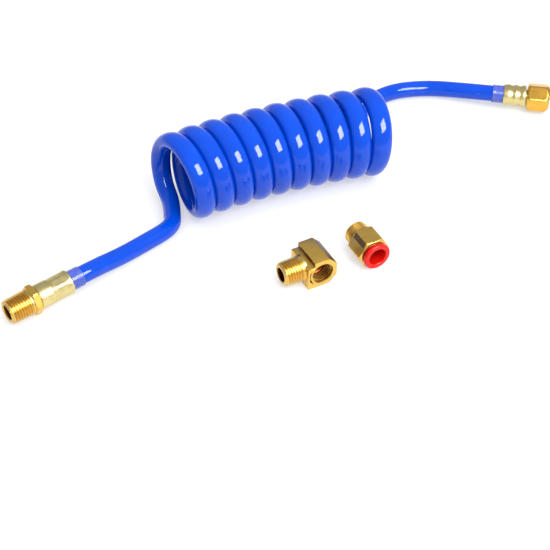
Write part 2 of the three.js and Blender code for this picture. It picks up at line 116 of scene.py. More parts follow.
# ---------------------------------------------------------------------------------- sizes, in millimetres
# Pipe thread
THREAD_PITCH = 1.411
THREAD_TIP_RADIUS = 6.4
THREAD_DEPTH = 0.92
THREAD_TAPER = 1 / 32
FEMALE_RADIUS = 5.7
FEMALE_DEPTH = 0.8
MALE_RIDGE = 0.96  # of the pitch, at the root
FEMALE_RIDGE = 0.62

# Taper-thread end
MALE_THREAD = 12.0
MALE_SHOULDER = 0.8
MALE_HEX = 3.8
MALE_HEX_AF = 14.3
MALE_BORE = 4.0
MALE_FERRULE = 18.7
MALE_SLEEVE = (9.0, 6.8)  # hidden in the ferrule, and proud of it

# Swivel end
NUT_AF = 15.0
NUT_LENGTH = 13.5
NUT_LIP = 0.5  # the rounded mouth stops this far short
NUT_TURN = math.radians(21.5)  # 3 degrees past the CAD's, off the key light's reflection
NUT_THREAD = 9.0
NUT_HOLE = 4.4
SEAT_START = 5.0
SEAT_HEAD = 5.1
SEAT_NOSE = 3.4
SEAL_RADIUS = 0.6
SWIVEL_GROOVE = 1.0
SWIVEL_FERRULE = 13.0
SWIVEL_SLEEVE = (7.0, 6.6)

# Both ends
GAP = 0.3
NECK = 3.7
FLANGE = 1.2
FERRULE_RADIUS = 6.5
FERRULE_INNER = 5.55
SLEEVE_INNER = 4.95
SLEEVE_WALL = 0.4
STEM_BORE = 1.8
BARB_CREST = 2.9
BARB_ROOT = 2.55
BARBS = 4

# Street elbow
ELBOW_HALF = 8.3
ELBOW_CHAMFER = 4.6
ELBOW_STEP = 4.5  # from the port's axis to the step down to the male thread's side
ELBOW_LEDGE = 5.2  # the height of that side above the axes
ELBOW_BACK = 9.8
ELBOW_FRONT = 8.8
ELBOW_PORT_DEPTH = 8.6
ELBOW_BORE = 3.7
ELBOW_THREAD = 12.0
ELBOW_TIP = 19.5

# Push-in connector
CONNECTOR_THREAD = 8.0
CONNECTOR_HEX = 12.5
CONNECTOR_HEX_AF = 16.2
CONNECTOR_BORE = 3.5
TUBE_STOP = 1.0
TUBE_HOLE = 4.85
CARTRIDGE_START = 2.7
CARTRIDGE_RADIUS = 6.6
SEAL_WIDTH = 1.6
SPACER_WIDTH = 0.8
GRAB_WIDTH = 0.4
COLLET_TRAVEL = 1.2
COLLET_RADIUS = 5.4
COLLET_FLANGE = 7.5
COLLET_FLANGE_WIDTH = 1.7


# ------------------------------------------------------------------------------------------ places
def place_of(mount, node, inwards=0.0):
    """A fitting's own frame, in millimetres: +X inwards from its mount's face, at its node's height."""
    low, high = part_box(node)
    x = -Vector(mounts[mount]["axis"]).normalized()
    z = Vector((0, 0, 1))
    y = z.cross(x)
    origin = Vector(mounts[mount]["pos_m"])
    origin.z = (low[2] + high[2]) / 2
    turn = Matrix((x, y, z)).transposed().to_4x4()
    return Matrix.Translation(origin + x * inwards * MM) @ turn @ Matrix.Scale(MM, 4)


MALE_PLACE = place_of("taper_thread_tip", "male_stem")
SWIVEL_PLACE = place_of("swivel_nut_mouth", "swivel_nut")
CONNECTOR_PLACE = place_of("connector_thread_tip", "connector_body")
ELBOW_PLACE = place_of("elbow_thread_tip", "street_elbow", ELBOW_TIP) @ Matrix.Rotation(math.pi, 4, "Z")


# ------------------------------------------------------------------------------------------ camera
CAMERA_TARGET = -KIT_CENTRE
CAMERA_AZIMUTH = math.radians(68.4)
CAMERA_ELEVATION = math.radians(43.5)
CAMERA_DISTANCE = 0.62
CAMERA_LENS = 78.5


def make_camera():
    camera = bpy.data.objects.new("camera", bpy.data.cameras.new("camera"))
    bpy.context.scene.collection.objects.link(camera)
    level = math.cos(CAMERA_ELEVATION)
    looking = Vector((
        level * math.cos(CAMERA_AZIMUTH),
        level * math.sin(CAMERA_AZIMUTH),
        -math.sin(CAMERA_ELEVATION),
    ))
    camera.location = CAMERA_TARGET - looking * CAMERA_DISTANCE
    camera.rotation_euler = looking.to_track_quat("-Z", "Y").to_euler()
    camera.data.sensor_width = 36
    camera.data.lens = CAMERA_LENS
    camera.data.clip_start = 0.01
    bpy.context.scene.camera = camera


make_camera()


# ------------------------------------------------------------------------------------------ shader maths
class Wire:
    """One socket of a shader, or of a node tree, that arithmetic works on."""

    def __init__(self, graph, socket):
        self.graph = graph
        self.socket = socket

    def _math(self, operation, first, second):
        return self.graph.out("ShaderNodeMath", {"operation": operation}, {0: first, 1: second})

    def __add__(self, other):
        return self._math("ADD", self, other)

    def __sub__(self, other):
        return self._math("SUBTRACT", self, other)

    def __rsub__(self, other):
        return self._math("SUBTRACT", other, self)

    def __mul__(self, other):
        return self._math("MULTIPLY", self, other)

    __radd__ = __add__
    __rmul__ = __mul__


class Graph:
    """Makes and joins the nodes of one tree."""

    def __init__(self, tree):
        self.tree = tree

    def node(self, kind, settings=None, inputs=None):
        made = self.tree.nodes.new(kind)
        for name, value in (settings or {}).items():
            setattr(made, name, value)
        for name, value in (inputs or {}).items():
            if isinstance(value, Wire):
                self.tree.links.new(value.socket, made.inputs[name])
            else:
                made.inputs[name].default_value = value
        return made

    def out(self, kind, settings=None, inputs=None, output=0):
        return Wire(self, self.node(kind, settings, inputs).outputs[output])


def blank_material(name):
    material = bpy.data.materials.new(name)
    material.use_nodes = True
    material.node_tree.nodes.clear()
    return material, Graph(material.node_tree)


def colour(r, g, b):
    return (r, g, b, 1.0)


def finish_material(graph, inputs):
    shader = graph.out("ShaderNodeBsdfPrincipled", {}, inputs)
    graph.node("ShaderNodeOutputMaterial", {}, {"Surface": shader})


def noise(graph, where, scale, detail=3.0, roughness=0.55):
    return graph.out("ShaderNodeTexNoise", {}, {
        "Vector": where, "Scale": scale, "Detail": detail, "Roughness": roughness,
    })


def mixed(graph, factor, a, b):
    return graph.out(
        "ShaderNodeMix", {"data_type": "RGBA"}, {"Factor": factor, 6: a, 7: b}, output=2
    )


def bump(graph, height, distance, strength=1.0):
    return graph.out("ShaderNodeBump", {}, {"Height": height, "Distance": distance, "Strength": strength})


def object_coordinates(graph):
    return graph.out("ShaderNodeTexCoord", {}, {}, output="Object")


def along(graph, heading, stretch):
    """Object coordinates turned so that X runs along a fitting's axis, and stretched along it."""
    return graph.out("ShaderNodeMapping", {"vector_type": "POINT"}, {
        "Vector": object_coordinates(graph),
        "Rotation": (0, 0, -heading),
        "Scale": stretch,
    })


# ------------------------------------------------------------------------------------------ materials
def hose_material():
    """Blue polyurethane: saturated, a little cloudy, glossy."""
    material, graph = blank_material("hose_blue")
    where = object_coordinates(graph)
    cloud = noise(graph, where, 60.0, 2.0)
    grain = noise(graph, where, 900.0, 3.0)
    base = mixed(graph, cloud, colour(0.0005, 0.044, 0.44), colour(0.001, 0.070, 0.60))
    ripple = noise(graph, where, 120.0, 1.0)
    finish_material(graph, {
        "Base Color": base,
        "Roughness": 0.03 + grain * 0.05,
        "Normal": bump(graph, ripple, 0.00006, 0.3),
        "IOR": 1.5,
        "Specular IOR Level": 0.33,
        "Subsurface Weight": 0.08,
        "Subsurface Radius": (0.1, 0.3, 1.0),
        "Subsurface Scale": 0.002,
    })
    return material


def brass_material(name, heading, dark, light, rough, stretch, mark_depth, blotch=220.0):
    """Brass with fine marks left by the tool, and a slightly uneven tone."""
    material, graph = blank_material(name)
    marks = noise(graph, along(graph, heading, stretch), 1.0, 4.0, 0.6)
    tone = noise(graph, object_coordinates(graph), blotch, 4.0, 0.6)
    finish_material(graph, {
        "Base Color": mixed(graph, tone, colour(*dark), colour(*light)),
        "Metallic": 1.0,
        "Roughness": rough - 0.08 + marks * 0.10 + tone * 0.08,
        "Normal": bump(graph, marks, mark_depth * MM, 0.6),
    })
    return material


TURNED = (2500.0, 60.0, 60.0)  # marks run round the piece
DRAWN = (40.0, 1500.0, 1500.0)  # marks run along it


def fitting_brasses(name, place):
    heading = math.atan2(place[1][0], place[0][0])
    return {
        "thread": brass_material(
            name + "_thread_brass", heading, (0.56, 0.33, 0.07), (0.84, 0.57, 0.16), 0.30, TURNED, 0.01
        ),
        "turned": brass_material(
            name + "_turned_brass", heading, (0.54, 0.35, 0.09), (0.78, 0.56, 0.18), 0.32, TURNED, 0.01
        ),
        "drawn": brass_material(
            name + "_drawn_brass", heading, (0.60, 0.37, 0.075), (0.86, 0.56, 0.13), 0.33, DRAWN, 0.012
        ),
        "ferrule": brass_material(
            name + "_ferrule_brass", heading, (0.50, 0.41, 0.17), (0.82, 0.70, 0.34), 0.32, DRAWN, 0.006
        ),
        "flat": brass_material(
            name + "_flat_brass", heading, (0.62, 0.34, 0.05), (0.84, 0.50, 0.09), 0.17, DRAWN, 0.002
        ),
        # Dark brass that paints shade and dark reflections: on the elbow's slanted faces, the wall of its
        # step and its pocket, and on a band of the connector's hex.
        "scale": brass_material(
            name + "_shade_and_reflection_brass", heading, (0.12, 0.075, 0.035), (0.26, 0.16, 0.07), 0.42, DRAWN, 0.02
        ),
        # Dark brass that paints the shade inside bores and holes, and between the ridges of a thread inside a
        # bore.
        "bore": brass_material(
            name + "_bore_shade_brass", heading, (0.14, 0.04, 0.012), (0.26, 0.085, 0.02), 0.42, TURNED, 0.01
        ),
    }


def sleeve_material():
    """Clear vinyl with a violet tint over the blue hose."""
    material, graph = blank_material("sleeve_vinyl")
    haze = noise(graph, object_coordinates(graph), 500.0, 3.0)
    finish_material(graph, {
        "Base Color": mixed(graph, haze, colour(0.07, 0.11, 0.52), colour(0.15, 0.21, 0.74)),
        "Roughness": 0.10 + haze * 0.16,
        "Normal": bump(graph, haze, 0.0001, 0.4),
        "Alpha": 0.40 + haze * 0.2,
        "Specular IOR Level": 0.5,
    })
    return material


def plain_material(name, dark, light, rough, scale, depth, metallic=0.0):
    material, graph = blank_material(name)
    mottle = noise(graph, object_coordinates(graph), scale, 3.0)
    finish_material(graph, {
        "Base Color": mixed(graph, mottle, colour(*dark), colour(*light)),
        "Metallic": metallic,
        "Roughness": rough - 0.05 + mottle * 0.1,
        "Normal": bump(graph, mottle, depth * MM, 0.5),
        "Specular IOR Level": 0.3,
    })
    return material


HOSE_BLUE = hose_material()
SLEEVE_VINYL = sleeve_material()
SEAL_RUBBER = plain_material("seal_rubber", (0.008, 0.008, 0.009), (0.02, 0.02, 0.022), 0.55, 900.0, 0.02)
COLLET_RED = plain_material("collet_red", (0.56, 0.003, 0.001), (0.70, 0.007, 0.002), 0.34, 700.0, 0.015)
SPACER_ACETAL = plain_material("spacer_acetal", (0.55, 0.52, 0.43), (0.68, 0.65, 0.56), 0.45, 500.0, 0.02)
SPRING_STEEL = plain_material("spring_steel", (0.45, 0.46, 0.48), (0.66, 0.67, 0.69), 0.25, 800.0, 0.01, 1.0)
BRASS = {
    "male": fitting_brasses("male", MALE_PLACE),
    "swivel": fitting_brasses("swivel", SWIVEL_PLACE),
    "elbow": fitting_brasses("elbow", ELBOW_PLACE),
    "connector": fitting_brasses("connector", CONNECTOR_PLACE),
}


# ------------------------------------------------------------------------------------------ turned shapes
EVEN_ANGLES = np.radians(np.arange(0, 360, 3.75))


def corner_angles(count, first):
    """Angles round a piece with flats, close together at its corners."""
    step = 360 / count
    near = np.array([-2.6, -1.7, -1.0, -0.45, 0, 0.45, 1.0, 1.7, 2.6])
    between = np.linspace(4.2, step - 4.2, max(3, round(step / 4.5)))
    corners = math.degrees(first) + step * np.arange(count)
    found = [corner + np.concatenate([near, between]) for corner in corners]
    return np.radians(np.sort(np.concatenate(found) % 360))


def soft_least(a, b, width):
    """The smaller of two values, with the crease between them rounded."""
    return -width * np.logaddexp(-a / width, -b / width)


def flats(across, count, first):
    """The radius of a prism's outline at each angle. A flat's middle is at the first angle."""
    step = 2 * math.pi / count

    def radius(angles):
        off = (angles - first + step / 2) % step - step / 2
        corner = across / 2 / math.cos(step / 2)
        return soft_least(across / 2 / np.cos(off), corner - 0.18 + 0 * off, 0.05)

    return radius


def prism(x0, x1, across, count, first, chamfers=(0.8, 0.8), faces=(0.2, 0.2)):
    """Stations along a prism whose ends are turned to a chamfer. Each end has the chamfer's length, and how
    far inside the flats its face ends."""
    outline = flats(across, count, first)
    corner = across / 2 / math.cos(math.pi / count)
    slopes = [(corner * 1.01 - across / 2 + face) / chamfer for chamfer, face in zip(chamfers, faces)]

    def radius_at(x):
        cones = (
            across / 2 - faces[0] + (x - x0) * slopes[0],
            across / 2 - faces[1] + (x1 - x) * slopes[1],
        )
        return lambda angles: soft_least(outline(angles), min(cones) + 0 * angles, 0.07)

    start = x0 + np.linspace(0, chamfers[0] * 1.15, 9)
    middle = np.linspace(x0 + chamfers[0] * 1.3, x1 - chamfers[1] * 1.3, 8)
    end = x1 - np.linspace(chamfers[1] * 1.15, 0, 9)
    return [(x, radius_at(x)) for x in np.concatenate([start, middle, end])]


def softened(points, radius, steps=3):
    """A profile with its corners rounded, as far as its edges leave room."""
    made = [points[0]]
    for before, here, after in zip(points, points[1:], points[2:]):
        a, b, c = (np.array(point, float) for point in (before, here, after))
        back, on = a - b, c - b
        reach_back, reach_on = np.linalg.norm(back), np.linalg.norm(on)
        reach = min(radius, reach_back * 0.45, reach_on * 0.45)
        if reach < 1e-4:
            made.append(here)
            continue
        start, end = b + back / reach_back * reach, b + on / reach_on * reach
        for t in np.linspace(0, 1, steps + 1):
            made.append(tuple((1 - t) ** 2 * start + 2 * t * (1 - t) * b + t * t * end))
    return made + [points[-1]]


def mesh_of(bm, materials):
    """A plain mesh of a bmesh that is merged and faces outwards, smooth but for its sharp edges."""
    bmesh.ops.remove_doubles(bm, verts=bm.verts, dist=1e-5)
    bmesh.ops.recalc_face_normals(bm, faces=bm.faces)
    mesh = bpy.data.meshes.new("shape")
    bm.to_mesh(mesh)
    bm.free()
    for material in materials:
        mesh.materials.append(material)
    mesh.shade_smooth()
    mesh.set_sharp_from_angle(angle=math.radians(38))
    return mesh


def turned(bands, angles=EVEN_ANGLES, ring=False):
    """A shape round the X axis. Each band is a material and its stations, each an x and a radius, which may
    be a function of the angle. A ring's last station meets its first. Another shape starts and ends on the
    axis."""
    rows, finishes, materials = [], [], []
    for material, stations in bands:
        if material not in materials:
            materials.append(material)
        for x, radius in stations:
            radii = radius(angles) if callable(radius) else np.full(len(angles), float(radius))
            places = np.full(len(angles), x)
            rows.append(np.column_stack([places, radii * np.cos(angles), radii * np.sin(angles)]))
            finishes.append(materials.index(material))
    bm = bmesh.new()
    verts = [[bm.verts.new(point) for point in row] for row in rows]
    count = len(angles)
    for i in range(len(rows) if ring else len(rows) - 1):
        following = (i + 1) % len(rows)
        for j in range(count):
            k = (j + 1) % count
            face = bm.faces.new((verts[i][j], verts[i][k], verts[following][k], verts[following][j]))
            face.material_index = finishes[following]
    return mesh_of(bm, materials)


# ------------------------------------------------------------------------------------------ threads
def thread_tree():
    """A helical ridge about the Z axis: a trapezoid carried along a spiral, fading in and out at its ends."""
    tree = bpy.data.node_groups.new("thread_ridge", "GeometryNodeTree")
    interface = tree.interface
    for name, kind, value in (
        ("Turns", "NodeSocketFloat", 8.0),
        ("Pitch", "NodeSocketFloat", THREAD_PITCH),
        ("Start Radius", "NodeSocketFloat", THREAD_TIP_RADIUS),
        ("End Radius", "NodeSocketFloat", THREAD_TIP_RADIUS),
        ("Depth", "NodeSocketFloat", THREAD_DEPTH),
        ("Root Width", "NodeSocketFloat", 1.0),
        ("Crest Width", "NodeSocketFloat", 0.2),
        ("Fade Turns", "NodeSocketFloat", 0.5),
        ("Points per Turn", "NodeSocketInt", 72),
        ("Material", "NodeSocketMaterial", None),
    ):
        socket = interface.new_socket(name, in_out="INPUT", socket_type=kind)
        if value is not None:
            socket.default_value = value
    interface.new_socket("Mesh", in_out="OUTPUT", socket_type="NodeSocketGeometry")
    graph = Graph(tree)
    given = graph.node("NodeGroupInput")
    value = {socket.name: Wire(graph, socket) for socket in given.outputs if socket.name}
    half_root = value["Root Width"] * 0.5
    half_crest = value["Crest Width"] * 0.5
    depth = value["Depth"]

    def point(height, y):
        return graph.out("ShaderNodeCombineXYZ", {}, {"X": height, "Y": y})

    profile = graph.out("GeometryNodeCurvePrimitiveQuadrilateral", {"mode": "POINTS"}, {
        "Point 1": point(0.0, -1 * half_root),
        "Point 2": point(depth, -1 * half_crest),
        "Point 3": point(depth, half_crest),
        "Point 4": point(0.0, half_root),
    })
    spiral = graph.out("GeometryNodeCurveSpiral", {}, {
        "Resolution": value["Points per Turn"],
        "Rotations": value["Turns"],
        "Start Radius": value["Start Radius"],
        "End Radius": value["End Radius"],
        "Height": value["Turns"] * value["Pitch"],
        "Reverse": True,
    })
    upright = graph.out("GeometryNodeSetCurveNormal", {"mode": "Z_UP"}, {"Curve": spiral})
    on = graph.out("GeometryNodeSplineParameter")
    turns_from_end = graph.out("ShaderNodeMath", {"operation": "MINIMUM"}, {
        0: on * value["Turns"], 1: (1 - on) * value["Turns"],
    })
    grown = graph.out("ShaderNodeMapRange", {"interpolation_type": "SMOOTHSTEP"}, {
        "Value": turns_from_end, "From Max": value["Fade Turns"], "To Min": 0.02, "To Max": 1.0,
    })
    sized = graph.out("GeometryNodeSetCurveRadius", {}, {"Curve": upright, "Radius": grown})
    swept = graph.out("GeometryNodeCurveToMesh", {}, {
        "Curve": sized, "Profile Curve": profile, "Scale": grown, "Fill Caps": True,
    })
    real = graph.out("GeometryNodeRealizeInstances", {}, {"Geometry": swept})
    finished = graph.out("GeometryNodeSetMaterial", {}, {"Geometry": real, "Material": value["Material"]})
    graph.node("NodeGroupOutput", {}, {"Mesh": finished})
    return tree


THREAD_TREE = thread_tree()


def grown_mesh(tree, settings):
    """The plain mesh that a geometry node tree makes with these settings."""
    holder = bpy.data.objects.new("grower", bpy.data.meshes.new("grower"))
    bpy.context.scene.collection.objects.link(holder)
    modifier = holder.modifiers.new("grow", "NODES")
    modifier.node_group = tree
    for socket in tree.interface.items_tree:
        if socket.in_out == "INPUT" and socket.name in settings:
            modifier[socket.identifier] = settings[socket.name]
    bpy.context.view_layer.update()
    graph = bpy.context.evaluated_depsgraph_get()
    mesh = bpy.data.meshes.new_from_object(holder.evaluated_get(graph))
    holder.modifiers.remove(modifier)
    bpy.data.objects.remove(holder)
    return mesh


Z_TO_X = Matrix.Rotation(math.pi / 2, 4, "Y")
QUARTER_TURN = Matrix.Rotation(math.pi / 2, 4, "Z")


def thread(material, start, end, radius, taper=0.0, depth=THREAD_DEPTH, inwards=False):
    """A right-handed thread between two places on the X axis. The radius is at its root, where it starts. The
    ridges of one inside a bore are narrower, and leave the bore bare between them."""
    length = end - start
    mesh = grown_mesh(THREAD_TREE, {
        "Turns": length / THREAD_PITCH,
        "Pitch": THREAD_PITCH,
        "Start Radius": radius,
        "End Radius": radius + length * taper,
        "Depth": -depth if inwards else depth,
        "Root Width": THREAD_PITCH * (FEMALE_RIDGE if inwards else MALE_RIDGE),
        "Crest Width": THREAD_PITCH * 0.14,
        "Material": material,
    })
    mesh.transform(Matrix.Translation((start, 0, 0)) @ Z_TO_X)
    bm = bmesh.new()
    bm.from_mesh(mesh)
    return mesh_of(bm, [material])


# ------------------------------------------------------------------------------------------ pieces
def joined(meshes):
    """One mesh of several, each with its own materials."""
    materials = []
    bm = bmesh.new()
    for mesh in meshes:
        own = []
        for material in mesh.materials:
            if material not in materials:
                materials.append(material)
            own.append(materials.index(material))
        for polygon in mesh.polygons:
            polygon.material_index = own[polygon.material_index]
        bm.from_mesh(mesh)
    whole = bpy.data.meshes.new("shape")
    bm.to_mesh(whole)
    bm.free()
    for material in materials:
        whole.materials.append(material)
    return whole


def piece(name, meshes, place, body, replaces):
    """A finished piece in its place, which stands for a CAD node and rides on a body."""
    mesh = joined(meshes)
    mesh.name = name
    mesh.transform(place)
    made = bpy.data.objects.new(name, mesh)
    bpy.context.scene.collection.objects.link(made)
    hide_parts(replaces)
    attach(made, body)
    return made


def cut(mesh, tool, operation="DIFFERENCE"):
    """A mesh with another cut from it, or joined to it."""
    objects = []
    for data in (mesh, tool):
        made = bpy.data.objects.new("cut", data)
        bpy.context.scene.collection.objects.link(made)
        objects.append(made)
    modifier = objects[0].modifiers.new("cut", "BOOLEAN")
    modifier.operation = operation
    modifier.solver = "EXACT"
    modifier.material_mode = "TRANSFER"
    modifier.object = objects[1]
    bpy.context.view_layer.update()
    graph = bpy.context.evaluated_depsgraph_get()
    result = bpy.data.meshes.new_from_object(objects[0].evaluated_get(graph))
    objects[0].modifiers.remove(modifier)
    for made in objects:
        bpy.data.objects.remove(made)
    bm = bmesh.new()
    bm.from_mesh(result)
    materials = list(result.materials)
    return mesh_of(bm, materials)


# ------------------------------------------------------------------------------------------ hose
def spline(points, step):
    """Points a step apart on the natural cubic spline through these, by the square root of the chord."""
    points = np.array(points, float)
    chords = np.linalg.norm(np.diff(points, axis=0), axis=1)
    knots = np.concatenate([[0], np.cumsum(np.sqrt(chords))])
    h = np.diff(knots)
    count = len(points)
    system = np.eye(count)
    known = np.zeros((count, 3))
    for i in range(1, count - 1):
        system[i, i - 1 : i + 2] = h[i - 1], 2 * (h[i - 1] + h[i]), h[i]
        known[i] = 6 * ((points[i + 1] - points[i]) / h[i] - (points[i] - points[i - 1]) / h[i - 1])
    bend = np.linalg.solve(system, known)
    fine = []
    for i in range(count - 1):
        for t in np.linspace(0, 1, 24, endpoint=False):
            straight = points[i] * (1 - t) + points[i + 1] * t
            before = ((1 - t) ** 3 - (1 - t)) * bend[i]
            after = (t**3 - t) * bend[i + 1]
            fine.append(straight + (before + after) * h[i] ** 2 / 6)
    return evenly(np.array(fine + [points[-1]]), step)


def distances(line):
    """How far along a line each of its points is."""
    return np.concatenate([[0], np.cumsum(np.linalg.norm(np.diff(line, axis=0), axis=1))])


def evenly(line, step):
    gone = distances(line)
    wanted = np.linspace(0, gone[-1], round(gone[-1] / step) + 1)
    return np.column_stack([np.interp(wanted, gone, line[:, axis]) for axis in range(3)])


def coil_heading(share):
    """Where the coil's axis points on the plan, this share of the way along it."""
    return COIL_BEND / 2 - COIL_BEND * share


def helix_point(turn):
    """A point on the coil's centreline, at an angle past the bottom of its first turn."""
    share = turn / (2 * math.pi * COIL_TURNS)
    heading = coil_heading(share)
    arc = COIL_PITCH * COIL_TURNS / COIL_BEND
    radius = COIL_OUTSIDE - COIL_THICKNESS / 2
    ahead = Vector((math.cos(heading), math.sin(heading), 0))
    side = Vector((-math.sin(heading), math.cos(heading), 0))
    centre = Vector((
        COIL_START[0] + arc * (math.sin(COIL_BEND / 2) - math.sin(heading)),
        COIL_START[1] + arc * (math.cos(heading) - math.cos(COIL_BEND / 2)),
        COIL_OUTSIDE + LIFT,
    ))
    upright = Vector((0, 0, 1)) + ahead * COIL_END_LEAN * share**3
    return centre + (side * math.sin(turn) - upright * math.cos(turn)) * radius - KIT_CENTRE


def on_fitting(place, places):
    return [place @ Vector((x, 0, 0)) for x in places]


MALE_HOSE_START = MALE_THREAD + MALE_SHOULDER + MALE_HEX + GAP + FLANGE + GAP
MALE_MOUTH = MALE_THREAD + MALE_SHOULDER + MALE_HEX + GAP + MALE_FERRULE
SWIVEL_HOSE_START = NUT_LENGTH + SWIVEL_GROOVE + FLANGE + GAP
SWIVEL_MOUTH = NUT_LENGTH + SWIVEL_GROOVE + SWIVEL_FERRULE


def hose_route():
    """The hose's centreline, and where on it the coil starts and ends."""
    last = COIL_TURNS * 2 * math.pi + COIL_LAST
    count = math.ceil((last - COIL_FIRST) / (2 * math.pi) * POINTS_PER_TURN)
    helix = [helix_point(COIL_FIRST + (last - COIL_FIRST) * i / count) for i in range(count + 1)]
    knots = (
        on_fitting(MALE_PLACE, (MALE_HOSE_START, 28, 36, 44))
        + [Vector(point) - KIT_CENTRE for point in MALE_ROUTE]
        + helix
        + [Vector(point) - KIT_CENTRE for point in SWIVEL_ROUTE]
        + on_fitting(SWIVEL_PLACE, (36, 30, 23, SWIVEL_HOSE_START))
    )
    line = spline(knots, RING_STEP)
    gone = distances(line)
    ends = [gone[np.argmin(np.linalg.norm(line - np.array(end), axis=1))] for end in (helix[0], helix[-1])]
    return line, ends


def section_frames(line):
    """At each point of a line its direction, and two more at right angles to it that don't twist."""
    ahead = np.gradient(line, axis=0)
    ahead /= np.linalg.norm(ahead, axis=1)[:, None]
    sides = np.zeros_like(ahead)
    side = np.cross(ahead[0], (0, 0, 1))
    for i, direction in enumerate(ahead):
        side = side - direction * np.dot(side, direction)
        side /= np.linalg.norm(side)
        sides[i] = side
    return ahead, sides, np.cross(ahead, sides)


def flattened(rings, ahead, share, flatness):
    """The rings of a round hose, widened along the coil's axis and thinned across it."""
    headings = coil_heading(share)
    axis = np.column_stack([np.cos(headings), np.sin(headings), np.zeros(len(headings))])
    wide = axis - ahead * np.sum(axis * ahead, axis=1)[:, None]
    wide /= np.linalg.norm(wide, axis=1)[:, None]
    thin = np.cross(ahead, wide)
    for direction, size in ((wide, COIL_WIDTH), (thin, COIL_THICKNESS)):
        reach = np.einsum("rsk,rk->rs", rings, direction)
        growth = flatness * (size / HOSE_OD - 1)
        rings = rings + (reach * growth[:, None])[:, :, None] * direction[:, None, :]
    return rings


def tube_mesh(line, rings):
    """A closed tube of rings round a line's points."""
    bm = bmesh.new()
    made = [[bm.verts.new(point + offset) for offset in ring] for point, ring in zip(line, rings)]
    for here, following in zip(made, made[1:]):
        for j in range(HOSE_SIDES):
            k = (j + 1) % HOSE_SIDES
            bm.faces.new((here[j], here[k], following[k], following[j]))
    bm.faces.new(made[0])
    bm.faces.new(made[-1][::-1])
    bmesh.ops.recalc_face_normals(bm, faces=bm.faces)
    mesh = bpy.data.meshes.new("hose")
    bm.to_mesh(mesh)
    bm.free()
    mesh.shade_smooth()
    mesh.set_sharp_from_angle(angle=math.radians(50))
    return mesh


def make_hose():
    line, (first, final) = hose_route()
    gone = distances(line)
    share = np.clip((gone - first) / (final - first), 0, 1)
    from_end = np.minimum(gone - first, final - gone) / FLATTENING
    ramp = np.clip(from_end + FLATTENED_OUTSIDE, 0, 1)
    ahead, side, other = section_frames(line)
    angles = np.linspace(0, 2 * math.pi, HOSE_SIDES, endpoint=False)
    rings = HOSE_OD / 2 * (
        np.cos(angles)[None, :, None] * side[:, None, :] + np.sin(angles)[None, :, None] * other[:, None, :]
    )
    mesh = tube_mesh(line, flattened(rings, ahead, share, ramp * ramp * (3 - 2 * ramp)))
    mesh.materials.append(HOSE_BLUE)
    hose = bpy.data.objects.new("hose", mesh)
    bpy.context.scene.collection.objects.link(hose)
    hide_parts("hose_coil", "hose_tail_male", "hose_tail_swivel")
    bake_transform(hose, "supply_end", "tool_end", start=tuple(line[0]), end=tuple(line[-1]))
    # Every ring moves as one, so that the section keeps its shape as the coil is drawn out.
    mesh.attributes["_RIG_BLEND"].data.foreach_set("value", np.repeat(share, HOSE_SIDES).astype(np.float32))
    return hose, line, gone[-1]


hose, hose_line, hose_length = make_hose()


# ------------------------------------------------------------------------------------------ hose ends
def barbs(material, bore, x0, length):
    """Bands of the ridged tail that the hose is pushed over, from the ferrule's flange to its bore's end."""
    neck = x0 + FLANGE + GAP
    end = x0 + length - GAP - 0.5
    step = (end - neck) / BARBS
    points = [(x0, NECK), (neck, NECK), (neck, BARB_ROOT)]
    for i in range(BARBS):
        start = neck + (i + 0.35) * step
        points += [(start, BARB_ROOT), (start + 0.05, BARB_CREST), (start + step * 0.6, BARB_ROOT)]
    points += [(end, BARB_ROOT), (end, STEM_BORE + 0.2), (end - 0.2, STEM_BORE)]
    return [(material, softened(points, 0.08, 2)), (bore, [(end - 0.4, STEM_BORE)])]


def thread_start(x0):
    """Stations of a male thread's tip: the rim of its bore and the chamfer before its first ridge."""
    root = THREAD_TIP_RADIUS - THREAD_DEPTH
    return [(x0, root - 0.35), (x0 + 0.4, root)]


def male_stem():
    brass = BRASS["male"]
    root = THREAD_TIP_RADIUS - THREAD_DEPTH
    hex_start = MALE_THREAD + MALE_SHOULDER
    hex_end = hex_start + MALE_HEX
    wide = THREAD_TIP_RADIUS + MALE_THREAD * THREAD_TAPER
    body = prism(hex_start, hex_end, MALE_HEX_AF, 6, math.pi / 2)
    bands = [
        (brass["turned"], [(0.12, MALE_BORE + 0.42), (0, MALE_BORE + 0.6)]),
        (brass["turned"], thread_start(0)),
        (brass["thread"], [(MALE_THREAD - 1.0, root + MALE_THREAD * THREAD_TAPER)]),
        (brass["turned"], softened([
            (MALE_THREAD - 1.0, root + MALE_THREAD * THREAD_TAPER),
            (MALE_THREAD - 0.2, wide - 0.1),
            (hex_start - 0.05, wide - 0.1),
            (hex_start, wide + 0.05),
        ], 0.2)),
        (brass["turned"], body[:1]),
        (brass["drawn"], body[1:]),
        (brass["turned"], [(hex_end, NECK + 0.1)]),
        *barbs(brass["turned"], brass["bore"], hex_end, MALE_FERRULE),
        (brass["bore"], [(hex_end - 3.4, STEM_BORE), (hex_end - 5.0, MALE_BORE)]),
        (brass["bore"], [(2.0, MALE_BORE), (0.5, MALE_BORE)]),
        (brass["turned"], [(0.3, MALE_BORE + 0.12)]),
    ]
    core = turned(bands, corner_angles(6, math.pi / 3), ring=True)
    ridges = thread(brass["thread"], 0.25, MALE_THREAD + 0.5, root + 0.02, THREAD_TAPER)
    return piece("male_stem_detail", [core, ridges], MALE_PLACE, "supply_end", "male_stem")


def crimped(x0, stations):
    """Stations of a ferrule's outside: each has a place, a radius and how deep the crimp's flats are."""
    made = []
    for x, radius, depth in stations:
        if depth:
            outline = flats(2 * (radius - depth), 8, math.pi / 8)

            def crimp(angles, outline=outline, radius=radius):
                return soft_least(outline(angles), radius + 0 * angles, 0.12)

            made.append((x0 + x, crimp))
        else:
            made.append((x0 + x, radius))
    return made


